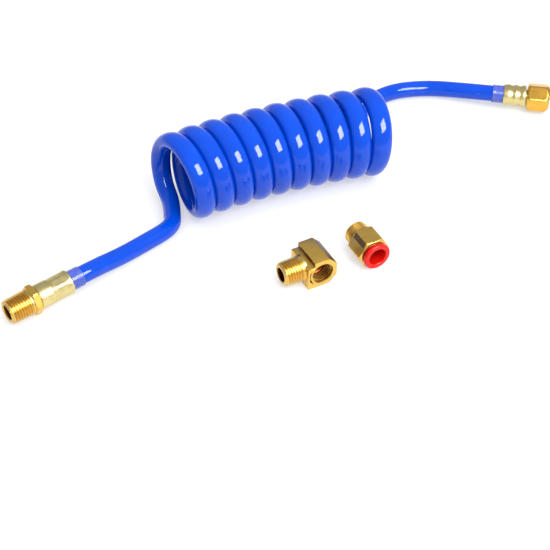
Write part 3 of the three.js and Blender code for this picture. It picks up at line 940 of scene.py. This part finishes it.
def ferrule(name, brass, x0, length, outside, place, body, replaces):
    inner = FERRULE_INNER
    bands = [
        (brass["turned"], [(x0 + 0.05, NECK + GAP), (x0, NECK + GAP + 0.1)]),
        (brass["ferrule"], crimped(x0, outside)),
        (brass["ferrule"], [(x0 + length, inner + 0.3), (x0 + length - 0.12, inner + 0.08)]),
        (brass["bore"], [(x0 + length - 0.4, inner), (x0 + FLANGE, inner), (x0 + FLANGE, NECK + GAP)]),
    ]
    shell = turned(bands, corner_angles(8, 0.0), ring=True)
    return piece(name, [shell], place, body, replaces)


def sleeve(name, mouth, hidden_proud, place, body, replaces, flare):
    """A clear sleeve with a cut end that is rounded and a little flared."""
    hidden, proud = hidden_proud
    inner, outer = SLEEVE_INNER - 0.05, SLEEVE_INNER + SLEEVE_WALL
    end = mouth + proud

    def cut_end(angles):
        return outer + flare + 0.05 * np.sin(3 * angles + 0.6)

    stations = [
        (mouth - hidden, inner),
        (mouth - hidden, outer),
        (mouth - 0.4, outer),
        (mouth + 0.6, outer),
        (mouth + proud * 0.4, outer + 0.03),
        (mouth + proud * 0.7, outer),
        (end - 1.1, outer),
        (end - 0.55, cut_end),
        (end - 0.15, cut_end),
        (end, outer - 0.1),
        (end, inner + 0.08),
        (end - 0.15, inner),
    ]
    shell = turned([(SLEEVE_VINYL, stations)], ring=True)
    return piece(name, [shell], place, body, replaces)


def male_end():
    start = MALE_THREAD + MALE_SHOULDER + MALE_HEX + GAP
    high = FERRULE_RADIUS
    outside = [
        (0.0, high - 0.35, 0), (0.12, high - 0.12, 0), (0.35, high, 0), (3.0, high, 0), (6.8, high, 0),
        (7.6, high - 0.08, 0), (8.2, high - 0.3, 0.02), (8.8, high - 0.34, 0.1), (9.4, high - 0.12, 0.3),
        (10.2, high, 0.46), (11.2, high, 0.5), (12.4, high - 0.04, 0.42), (13.0, high - 0.16, 0.3),
        (13.6, high - 0.04, 0.42), (14.6, high, 0.5), (15.4, high, 0.44), (16.1, high - 0.1, 0.24),
        (16.7, high - 0.2, 0.06), (17.2, high - 0.05, 0), (17.7, high + 0.05, 0), (18.3, high + 0.05, 0),
        (18.6, high - 0.12, 0), (18.7, high - 0.4, 0),
    ]
    male_stem()
    ferrule(
        "male_ferrule_detail", BRASS["male"], start, MALE_FERRULE, outside, MALE_PLACE, "supply_end",
        "male_ferrule",
    )
    sleeve(
        "male_sleeve_detail", MALE_MOUTH, MALE_SLEEVE, MALE_PLACE, "supply_end", "male_guard_sleeve", 0.0
    )


def swivel_nut():
    brass = BRASS["swivel"]
    major = FEMALE_RADIUS + FEMALE_DEPTH
    body = prism(NUT_LIP, NUT_LENGTH, NUT_AF, 6, NUT_TURN - math.pi / 2, (2.4, 1.5), (0.9, 0.5))
    bands = [
        (brass["turned"], [(NUT_LIP + 0.6, major), (NUT_LIP + 0.05, major + 0.3)]),
        (brass["flat"], body),
        (brass["turned"], softened([
            (NUT_LENGTH, NUT_AF / 2 - 0.5), (NUT_LENGTH, NUT_HOLE + 0.15), (NUT_LENGTH - 0.15, NUT_HOLE),
        ], 0.1)[1:]),
        (brass["bore"], [
            (NUT_THREAD + 0.2, NUT_HOLE), (NUT_THREAD, NUT_HOLE + 0.2), (NUT_THREAD, major - 0.2),
            (NUT_THREAD - 0.2, major),
        ]),
        (brass["bore"], [(2.0, major)]),
    ]
    shell = turned(bands, corner_angles(6, NUT_TURN), ring=True)
    ridges = thread(
        brass["thread"], NUT_LIP + 0.5, NUT_THREAD - 0.6, major + 0.02, depth=FEMALE_DEPTH, inwards=True
    )
    return piece("swivel_nut_detail", [shell, ridges], SWIVEL_PLACE, "nut", "swivel_nut")


def swivel_stem():
    brass = BRASS["swivel"]
    back = NUT_THREAD - GAP
    neck = NUT_HOLE - GAP
    flange = NUT_LENGTH + SWIVEL_GROOVE
    seal_at = SEAT_START + 2 * SEAL_RADIUS
    groove = SEAL_RADIUS + GAP
    bands = [
        (brass["turned"], softened([
            (SEAT_START, STEM_BORE + 0.2),
            (SEAT_START, SEAT_NOSE),
            (seal_at + groove, SEAT_NOSE),
            (seal_at + groove, SEAT_NOSE + 1.5 * SEAL_RADIUS),
            (back - 0.8, SEAT_HEAD),
            (back, SEAT_HEAD),
            (back, neck),
            (NUT_LENGTH + GAP, neck),
            (NUT_LENGTH + GAP, NECK),
            (flange, NECK),
        ], 0.12)),
        *barbs(brass["turned"], brass["bore"], flange, SWIVEL_FERRULE),
        (brass["bore"], [(SEAT_START + 0.4, STEM_BORE)]),
        (brass["turned"], [(SEAT_START + 0.2, STEM_BORE)]),
    ]
    core = turned(bands, ring=True)
    return piece("swivel_stem_detail", [core], SWIVEL_PLACE, "tool_end", "swivel_stem")


def round_seal(name, x, centre_radius, radius, place, body, replaces):
    """A ring of round section."""
    turns = np.linspace(0, 2 * math.pi, 20, endpoint=False)
    stations = [(x + radius * math.cos(turn), centre_radius + radius * math.sin(turn)) for turn in turns]
    return piece(name, [turned([(SEAL_RUBBER, stations)], ring=True)], place, body, replaces)


def swivel_end():
    start = NUT_LENGTH + SWIVEL_GROOVE
    high, low = FERRULE_RADIUS - 0.05, FERRULE_RADIUS - 0.5
    outside = [
        (0.0, high - 0.4, 0), (0.12, high - 0.12, 0), (0.4, high, 0), (1.4, high, 0), (2.2, high - 0.12, 0.0),
        (2.9, high - 0.34, 0.03), (3.6, low, 0.08), (4.2, low + 0.05, 0.06), (4.9, high - 0.22, 0.02),
        (5.6, high - 0.06, 0), (6.3, high - 0.1, 0), (7.0, high - 0.3, 0.03), (7.7, low, 0.08),
        (8.4, low + 0.03, 0.08), (9.1, high - 0.26, 0.02), (9.9, high - 0.1, 0), (10.7, high - 0.12, 0),
        (11.5, high - 0.3, 0), (12.3, high - 0.42, 0), (12.8, high - 0.5, 0), (12.95, high - 0.62, 0),
    ]
    nut = swivel_nut()
    stem = swivel_stem()
    seal = round_seal(
        "swivel_seal_detail", SEAT_START + 2 * SEAL_RADIUS, SEAT_NOSE + GAP / 2 + SEAL_RADIUS, SEAL_RADIUS,
        SWIVEL_PLACE, "tool_end", "swivel_seal_ring",
    )
    cup = ferrule(
        "swivel_ferrule_detail", BRASS["swivel"], start, SWIVEL_FERRULE, outside, SWIVEL_PLACE, "tool_end",
        "swivel_ferrule",
    )
    guard = sleeve(
        "swivel_sleeve_detail", SWIVEL_MOUTH, SWIVEL_SLEEVE, SWIVEL_PLACE, "tool_end", "swivel_guard_sleeve",
        0.22,
    )
    return [nut, stem, seal, cup, guard]


male_end()
swivel_pieces = swivel_end()


# ------------------------------------------------------------------------------------------ street elbow
def male_arm(brass, face):
    """The elbow's thread about its male axis, from inside the block out to its tip, without its bore."""
    root = THREAD_TIP_RADIUS - THREAD_DEPTH
    base = ELBOW_TIP - ELBOW_THREAD
    wide = THREAD_TIP_RADIUS + ELBOW_THREAD * THREAD_TAPER
    profile = softened([
        (face - 1.4, 0), (face - 1.4, wide + 0.3), (face + 0.4, wide + 0.3), (face + 0.6, wide - 0.1),
        (base + 1.9, wide - 0.1), (base + 2.6, root + ELBOW_THREAD * THREAD_TAPER), (ELBOW_TIP - 0.4, root),
        (ELBOW_TIP, root - 0.35), (ELBOW_TIP, 0),
    ], 0.1)
    return turned([(brass["thread"], profile)])


def elbow_block(brass):
    """The block along the port's axis, +Y: stepped on the thread's side and chamfered on the other."""
    half, cut_at = ELBOW_HALF, ELBOW_HALF - ELBOW_CHAMFER
    outline = [
        (half, ELBOW_LEDGE), (ELBOW_STEP, ELBOW_LEDGE), (ELBOW_STEP, half), (-cut_at, half),
        (-half, cut_at), (-half, -cut_at), (-cut_at, -half), (half, -half),
    ]
    bm = bmesh.new()
    face = bm.faces.new([bm.verts.new((x, -ELBOW_BACK, z)) for x, z in outline])
    grown = bmesh.ops.extrude_face_region(bm, geom=[face])["geom"]
    moved = [item for item in grown if isinstance(item, bmesh.types.BMVert)]
    bmesh.ops.translate(bm, verts=moved, vec=(0, ELBOW_BACK + ELBOW_FRONT, 0))
    bmesh.ops.recalc_face_normals(bm, faces=bm.faces)
    # The slanted faces take the dark brass as a painted dark reflection, and the wall of the step takes it as
    # painted shade.
    for side in bm.faces:
        painted_reflection_slant = 0.4 < abs(side.normal.z) < 0.9
        painted_shade_step = side.normal.x > 0.9 and side.calc_center_median().z > ELBOW_LEDGE
        side.material_index = 1 if painted_reflection_slant or painted_shade_step else 0
    bmesh.ops.bevel(bm, geom=bm.edges[:], offset=0.24, segments=2, profile=0.5, affect="EDGES")
    return mesh_of(bm, [brass["drawn"], brass["scale"]])


def elbow_pocket(material):
    """The cutter of a small three-cornered pocket in the front face, between the port and the thread."""
    corners = [(5.9, 3.9), (7.3, 2.0), (7.4, -3.0), (5.0, -5.8), (6.2, -3.3), (6.95, -1.0), (6.85, 1.5)]
    bm = bmesh.new()
    face = bm.faces.new([bm.verts.new((x, ELBOW_FRONT - 1.1, z)) for x, z in corners])
    grown = bmesh.ops.extrude_face_region(bm, geom=[face])["geom"]
    moved = [item for item in grown if isinstance(item, bmesh.types.BMVert)]
    bmesh.ops.translate(bm, verts=moved, vec=(0, 2.2, 0))
    return mesh_of(bm, [material])


def elbow_port(brass):
    """The cutter of the female port and its bore, along +Y."""
    major = FEMALE_RADIUS + FEMALE_DEPTH
    mouth = FEMALE_RADIUS + 0.3
    floor = ELBOW_FRONT - ELBOW_PORT_DEPTH
    made = turned([
        (brass["bore"], [
            (-ELBOW_BORE - 1.2, 0), (-ELBOW_BORE, ELBOW_BORE), (floor, ELBOW_BORE), (floor, major - 0.6),
            (floor + 0.6, major), (ELBOW_FRONT - 0.9, major), (ELBOW_FRONT - 0.6, FEMALE_RADIUS + 0.1),
        ]),
        (brass["turned"], [(ELBOW_FRONT, mouth), (ELBOW_FRONT + 1, mouth), (ELBOW_FRONT + 1, 0)]),
    ])
    made.transform(QUARTER_TURN)
    return made


def elbow_drill(brass):
    """The cutter of the male side's bore."""
    return turned([(brass["bore"], [
        (0.4, 0), (0.4, ELBOW_BORE), (ELBOW_TIP - 0.4, ELBOW_BORE), (ELBOW_TIP + 0.2, ELBOW_BORE + 0.6),
        (ELBOW_TIP + 1, ELBOW_BORE + 0.6), (ELBOW_TIP + 1, 0),
    ])])


def street_elbow():
    brass = BRASS["elbow"]
    major = FEMALE_RADIUS + FEMALE_DEPTH
    floor = ELBOW_FRONT - ELBOW_PORT_DEPTH
    body = cut(elbow_block(brass), male_arm(brass, ELBOW_HALF), "UNION")
    # The pocket's walls take the dark brass from their cutter: painted shade in the pocket.
    for cutter in (elbow_port(brass), elbow_drill(brass), elbow_pocket(brass["scale"])):
        body = cut(body, cutter)
    outer = thread(
        brass["thread"], 0.25, ELBOW_THREAD - 1.6, THREAD_TIP_RADIUS - THREAD_DEPTH + 0.02, THREAD_TAPER
    )
    outer.transform(Matrix.Translation((ELBOW_TIP, 0, 0)) @ Matrix.Rotation(math.pi, 4, "Z"))
    inner = thread(
        brass["thread"], floor + 0.5, ELBOW_FRONT - 0.6, major + 0.02, depth=FEMALE_DEPTH, inwards=True
    )
    inner.transform(QUARTER_TURN)
    return piece(
        "street_elbow_detail", [body, outer, inner], ELBOW_PLACE, "elbow", "street_elbow"
    )


street_elbow()


# ------------------------------------------------------------------------------------------ push-in connector
def paint_dark_reflection(mesh, material, reach, first, last):
    """Paints another material, as a dark reflection, on a turned mesh's faces between two places along it and
    two angles round it.
    """
    mesh.materials.append(material)
    for polygon in mesh.polygons:
        x, y, z = polygon.center
        if reach[0] < x < reach[1] and first < math.atan2(z, y) < last:
            polygon.material_index = len(mesh.materials) - 1


def connector_body():
    brass = BRASS["connector"]
    root = THREAD_TIP_RADIUS - THREAD_DEPTH
    wide = THREAD_TIP_RADIUS + CONNECTOR_THREAD * THREAD_TAPER
    hex_end = CONNECTOR_THREAD + CONNECTOR_HEX
    stop = CONNECTOR_THREAD + TUBE_STOP
    cartridge = CONNECTOR_THREAD + CARTRIDGE_START
    body = prism(CONNECTOR_THREAD, hex_end, CONNECTOR_HEX_AF, 6, math.pi / 2, (1.0, 1.0))
    bands = [
        (brass["turned"], [(0.12, CONNECTOR_BORE + 0.42), (0, CONNECTOR_BORE + 0.6)]),
        (brass["turned"], thread_start(0)),
        (brass["thread"], [(CONNECTOR_THREAD - 1.2, root + CONNECTOR_THREAD * THREAD_TAPER)]),
        (brass["turned"], [(CONNECTOR_THREAD - 0.6, wide - 0.15), (CONNECTOR_THREAD - 0.02, wide - 0.1)]),
        (brass["turned"], body[:1]),
        (brass["drawn"], body[1:]),
        (brass["turned"], [(hex_end, CARTRIDGE_RADIUS + 0.2), (hex_end - 0.2, CARTRIDGE_RADIUS)]),
        (brass["bore"], [
            (cartridge, CARTRIDGE_RADIUS), (cartridge, TUBE_HOLE + 0.2), (cartridge - 0.2, TUBE_HOLE),
            (stop, TUBE_HOLE), (stop, CONNECTOR_BORE), (0.6, CONNECTOR_BORE),
        ]),
        (brass["turned"], [(0.3, CONNECTOR_BORE + 0.12)]),
    ]
    shell = turned(bands, corner_angles(6, math.pi / 3), ring=True)
    # A band of the hex's faces takes the dark brass: a painted dark reflection.
    dark_reflection_reach = (CONNECTOR_THREAD + 1.4, hex_end - 1.4)
    paint_dark_reflection(shell, brass["scale"], dark_reflection_reach, math.radians(122), math.radians(141))
    ridges = thread(brass["thread"], 0.25, CONNECTOR_THREAD - 0.2, root + 0.02, THREAD_TAPER)
    return piece(
        "connector_body_detail", [shell, ridges], CONNECTOR_PLACE, "connector", "connector_body"
    )


def flat_ring(name, material, x0, width, inner, outer, replaces):
    """A ring of square section with eased edges. Its inner radius may be a function of the angle."""
    ease = min(0.12, width / 4)
    stations = [
        (x0, outer - ease), (x0 + ease, outer), (x0 + width - ease, outer), (x0 + width, outer - ease),
        (x0 + width, inner), (x0, inner),
    ]
    shell = turned([(material, stations)], np.radians(np.arange(0, 360, 2.5)), ring=True)
    return piece(name, [shell], CONNECTOR_PLACE, "connector", replaces)


def grab_teeth(angles):
    """The inner radius of the grab ring, whose teeth bite the tube."""
    return TUBE_HOLE - 0.2 + 0.9 * (np.cos(16 * angles) > 0.55)


def push_in_connector():
    connector_body()
    outer = CARTRIDGE_RADIUS - 0.2
    seal = CONNECTOR_THREAD + CARTRIDGE_START + GAP
    spacer = seal + SEAL_WIDTH + GAP
    grab = spacer + SPACER_WIDTH + GAP
    guide = grab + GRAB_WIDTH + GAP
    face = CONNECTOR_THREAD + CONNECTOR_HEX
    round_seal(
        "tube_seal_detail", seal + SEAL_WIDTH / 2, outer - SEAL_WIDTH / 2, SEAL_WIDTH / 2, CONNECTOR_PLACE,
        "connector", "tube_seal",
    )
    flat_ring(
        "seal_spacer_detail", SPACER_ACETAL, spacer, SPACER_WIDTH, TUBE_HOLE, outer,
        "seal_spacer",
    )
    flat_ring(
        "grab_ring_detail", SPRING_STEEL, grab, GRAB_WIDTH, grab_teeth, outer, "grab_ring"
    )
    brass = BRASS["connector"]
    guide_bore = COLLET_RADIUS + 0.55
    lip = COLLET_RADIUS + 0.2
    guide_profile = softened([
        (guide, guide_bore), (guide, outer), (face - GAP, outer), (face - GAP, lip), (face - GAP - 1.0, lip),
        (face - GAP - 1.0, guide_bore), (guide, guide_bore),
    ], 0.1)[1:]
    piece(
        "collet_guide_detail", [turned([(brass["turned"], guide_profile)], ring=True)], CONNECTOR_PLACE,
        "connector", "collet_guide",
    )
    collet_start = guide + COLLET_TRAVEL
    flange = face + COLLET_TRAVEL + GAP
    end = flange + COLLET_FLANGE_WIDTH
    collet_profile = softened([
        (collet_start, TUBE_HOLE), (collet_start, COLLET_RADIUS), (collet_start + 0.35, COLLET_RADIUS + 0.35),
        (collet_start + 1.05, COLLET_RADIUS + 0.35), (collet_start + 1.05, COLLET_RADIUS),
        (flange, COLLET_RADIUS), (flange, COLLET_FLANGE), (end - 0.55, COLLET_FLANGE),
        (end, COLLET_FLANGE - 0.35), (end, TUBE_HOLE + 0.35), (end - 0.35, TUBE_HOLE),
        (collet_start, TUBE_HOLE),
    ], 0.16, 4)[1:]
    collet = turned([(COLLET_RED, collet_profile)], ring=True)
    piece(
        "release_collet_detail", [collet], CONNECTOR_PLACE, "collet", "release_collet"
    )


push_in_connector()


# ------------------------------------------------------------------------------------------ floor and light
FLOOR_HALF = 3.0
KEY_SIZE = (0.40, 0.28)
KEY_DISTANCE = 0.62
KEY_AZIMUTH = math.radians(-70)
KEY_ELEVATION = math.radians(43.5)
KEY_POWER = 2.6
SHINE_POWER = 8.0
FILL_SIZE = (1.8, 1.8)
FILL_DISTANCE = 1.3
FILL_ELEVATION = math.radians(78)
FILL_POWER = 22.0
SHINE_AHEAD = 0.02  # in front of the key light, which would otherwise hide it from reflections
SKY_STRENGTH = 0.54
FLOOR_GLOW = 0.5  # light that the floor gives off, which keeps the shadows pale
KEY_AIM = Vector((-0.01, 0.02, 0.03))


def make_floor():
    bm = bmesh.new()
    bmesh.ops.create_grid(bm, x_segments=8, y_segments=8, size=FLOOR_HALF)
    mesh = bpy.data.meshes.new("floor")
    bm.to_mesh(mesh)
    bm.free()
    material, graph = blank_material("pale_floor")
    grain = noise(graph, object_coordinates(graph), 40.0, 2.0)
    finish_material(graph, {
        "Base Color": mixed(graph, grain, colour(0.42, 0.42, 0.42), colour(0.45, 0.45, 0.45)),
        "Roughness": 0.8,
        "Emission Color": colour(1.0, 1.0, 1.0),
        "Emission Strength": FLOOR_GLOW,
    })
    mesh.materials.append(material)
    floor = bpy.data.objects.new("floor", mesh)
    bpy.context.scene.collection.objects.link(floor)


def make_softbox(name, elevation, distance, size, power, diffuse=True, glossy=True):
    """A softbox, all on one side of the object. It can be one that gives only light, or only highlights."""
    light = bpy.data.lights.new(name, "AREA")
    light.shape = "RECTANGLE"
    light.size, light.size_y = size
    light.energy = power
    holder = bpy.data.objects.new(name, light)
    bpy.context.scene.collection.objects.link(holder)
    level = math.cos(elevation)
    towards = Vector((level * math.cos(KEY_AZIMUTH), level * math.sin(KEY_AZIMUTH), math.sin(elevation)))
    holder.visible_diffuse = diffuse
    holder.visible_glossy = glossy
    holder.location = KEY_AIM + towards * distance
    holder.rotation_euler = towards.to_track_quat("Z", "Y").to_euler()


def make_world():
    world = bpy.data.worlds.new("studio")
    bpy.context.scene.world = world
    world.use_nodes = True
    world.node_tree.nodes.clear()
    graph = Graph(world.node_tree)
    sky = graph.out("ShaderNodeBackground", {}, {"Color": colour(1.0, 1.0, 1.0), "Strength": SKY_STRENGTH})
    graph.node("ShaderNodeOutputWorld", {}, {"Surface": sky})


make_floor()
make_softbox("key", KEY_ELEVATION, KEY_DISTANCE, KEY_SIZE, KEY_POWER, glossy=False)
make_softbox("key_shine", KEY_ELEVATION, KEY_DISTANCE - SHINE_AHEAD, KEY_SIZE, SHINE_POWER, diffuse=False)
make_softbox("fill", FILL_ELEVATION, FILL_DISTANCE, FILL_SIZE, FILL_POWER, glossy=False)
make_world()
bpy.context.scene.view_settings.view_transform = "Standard"
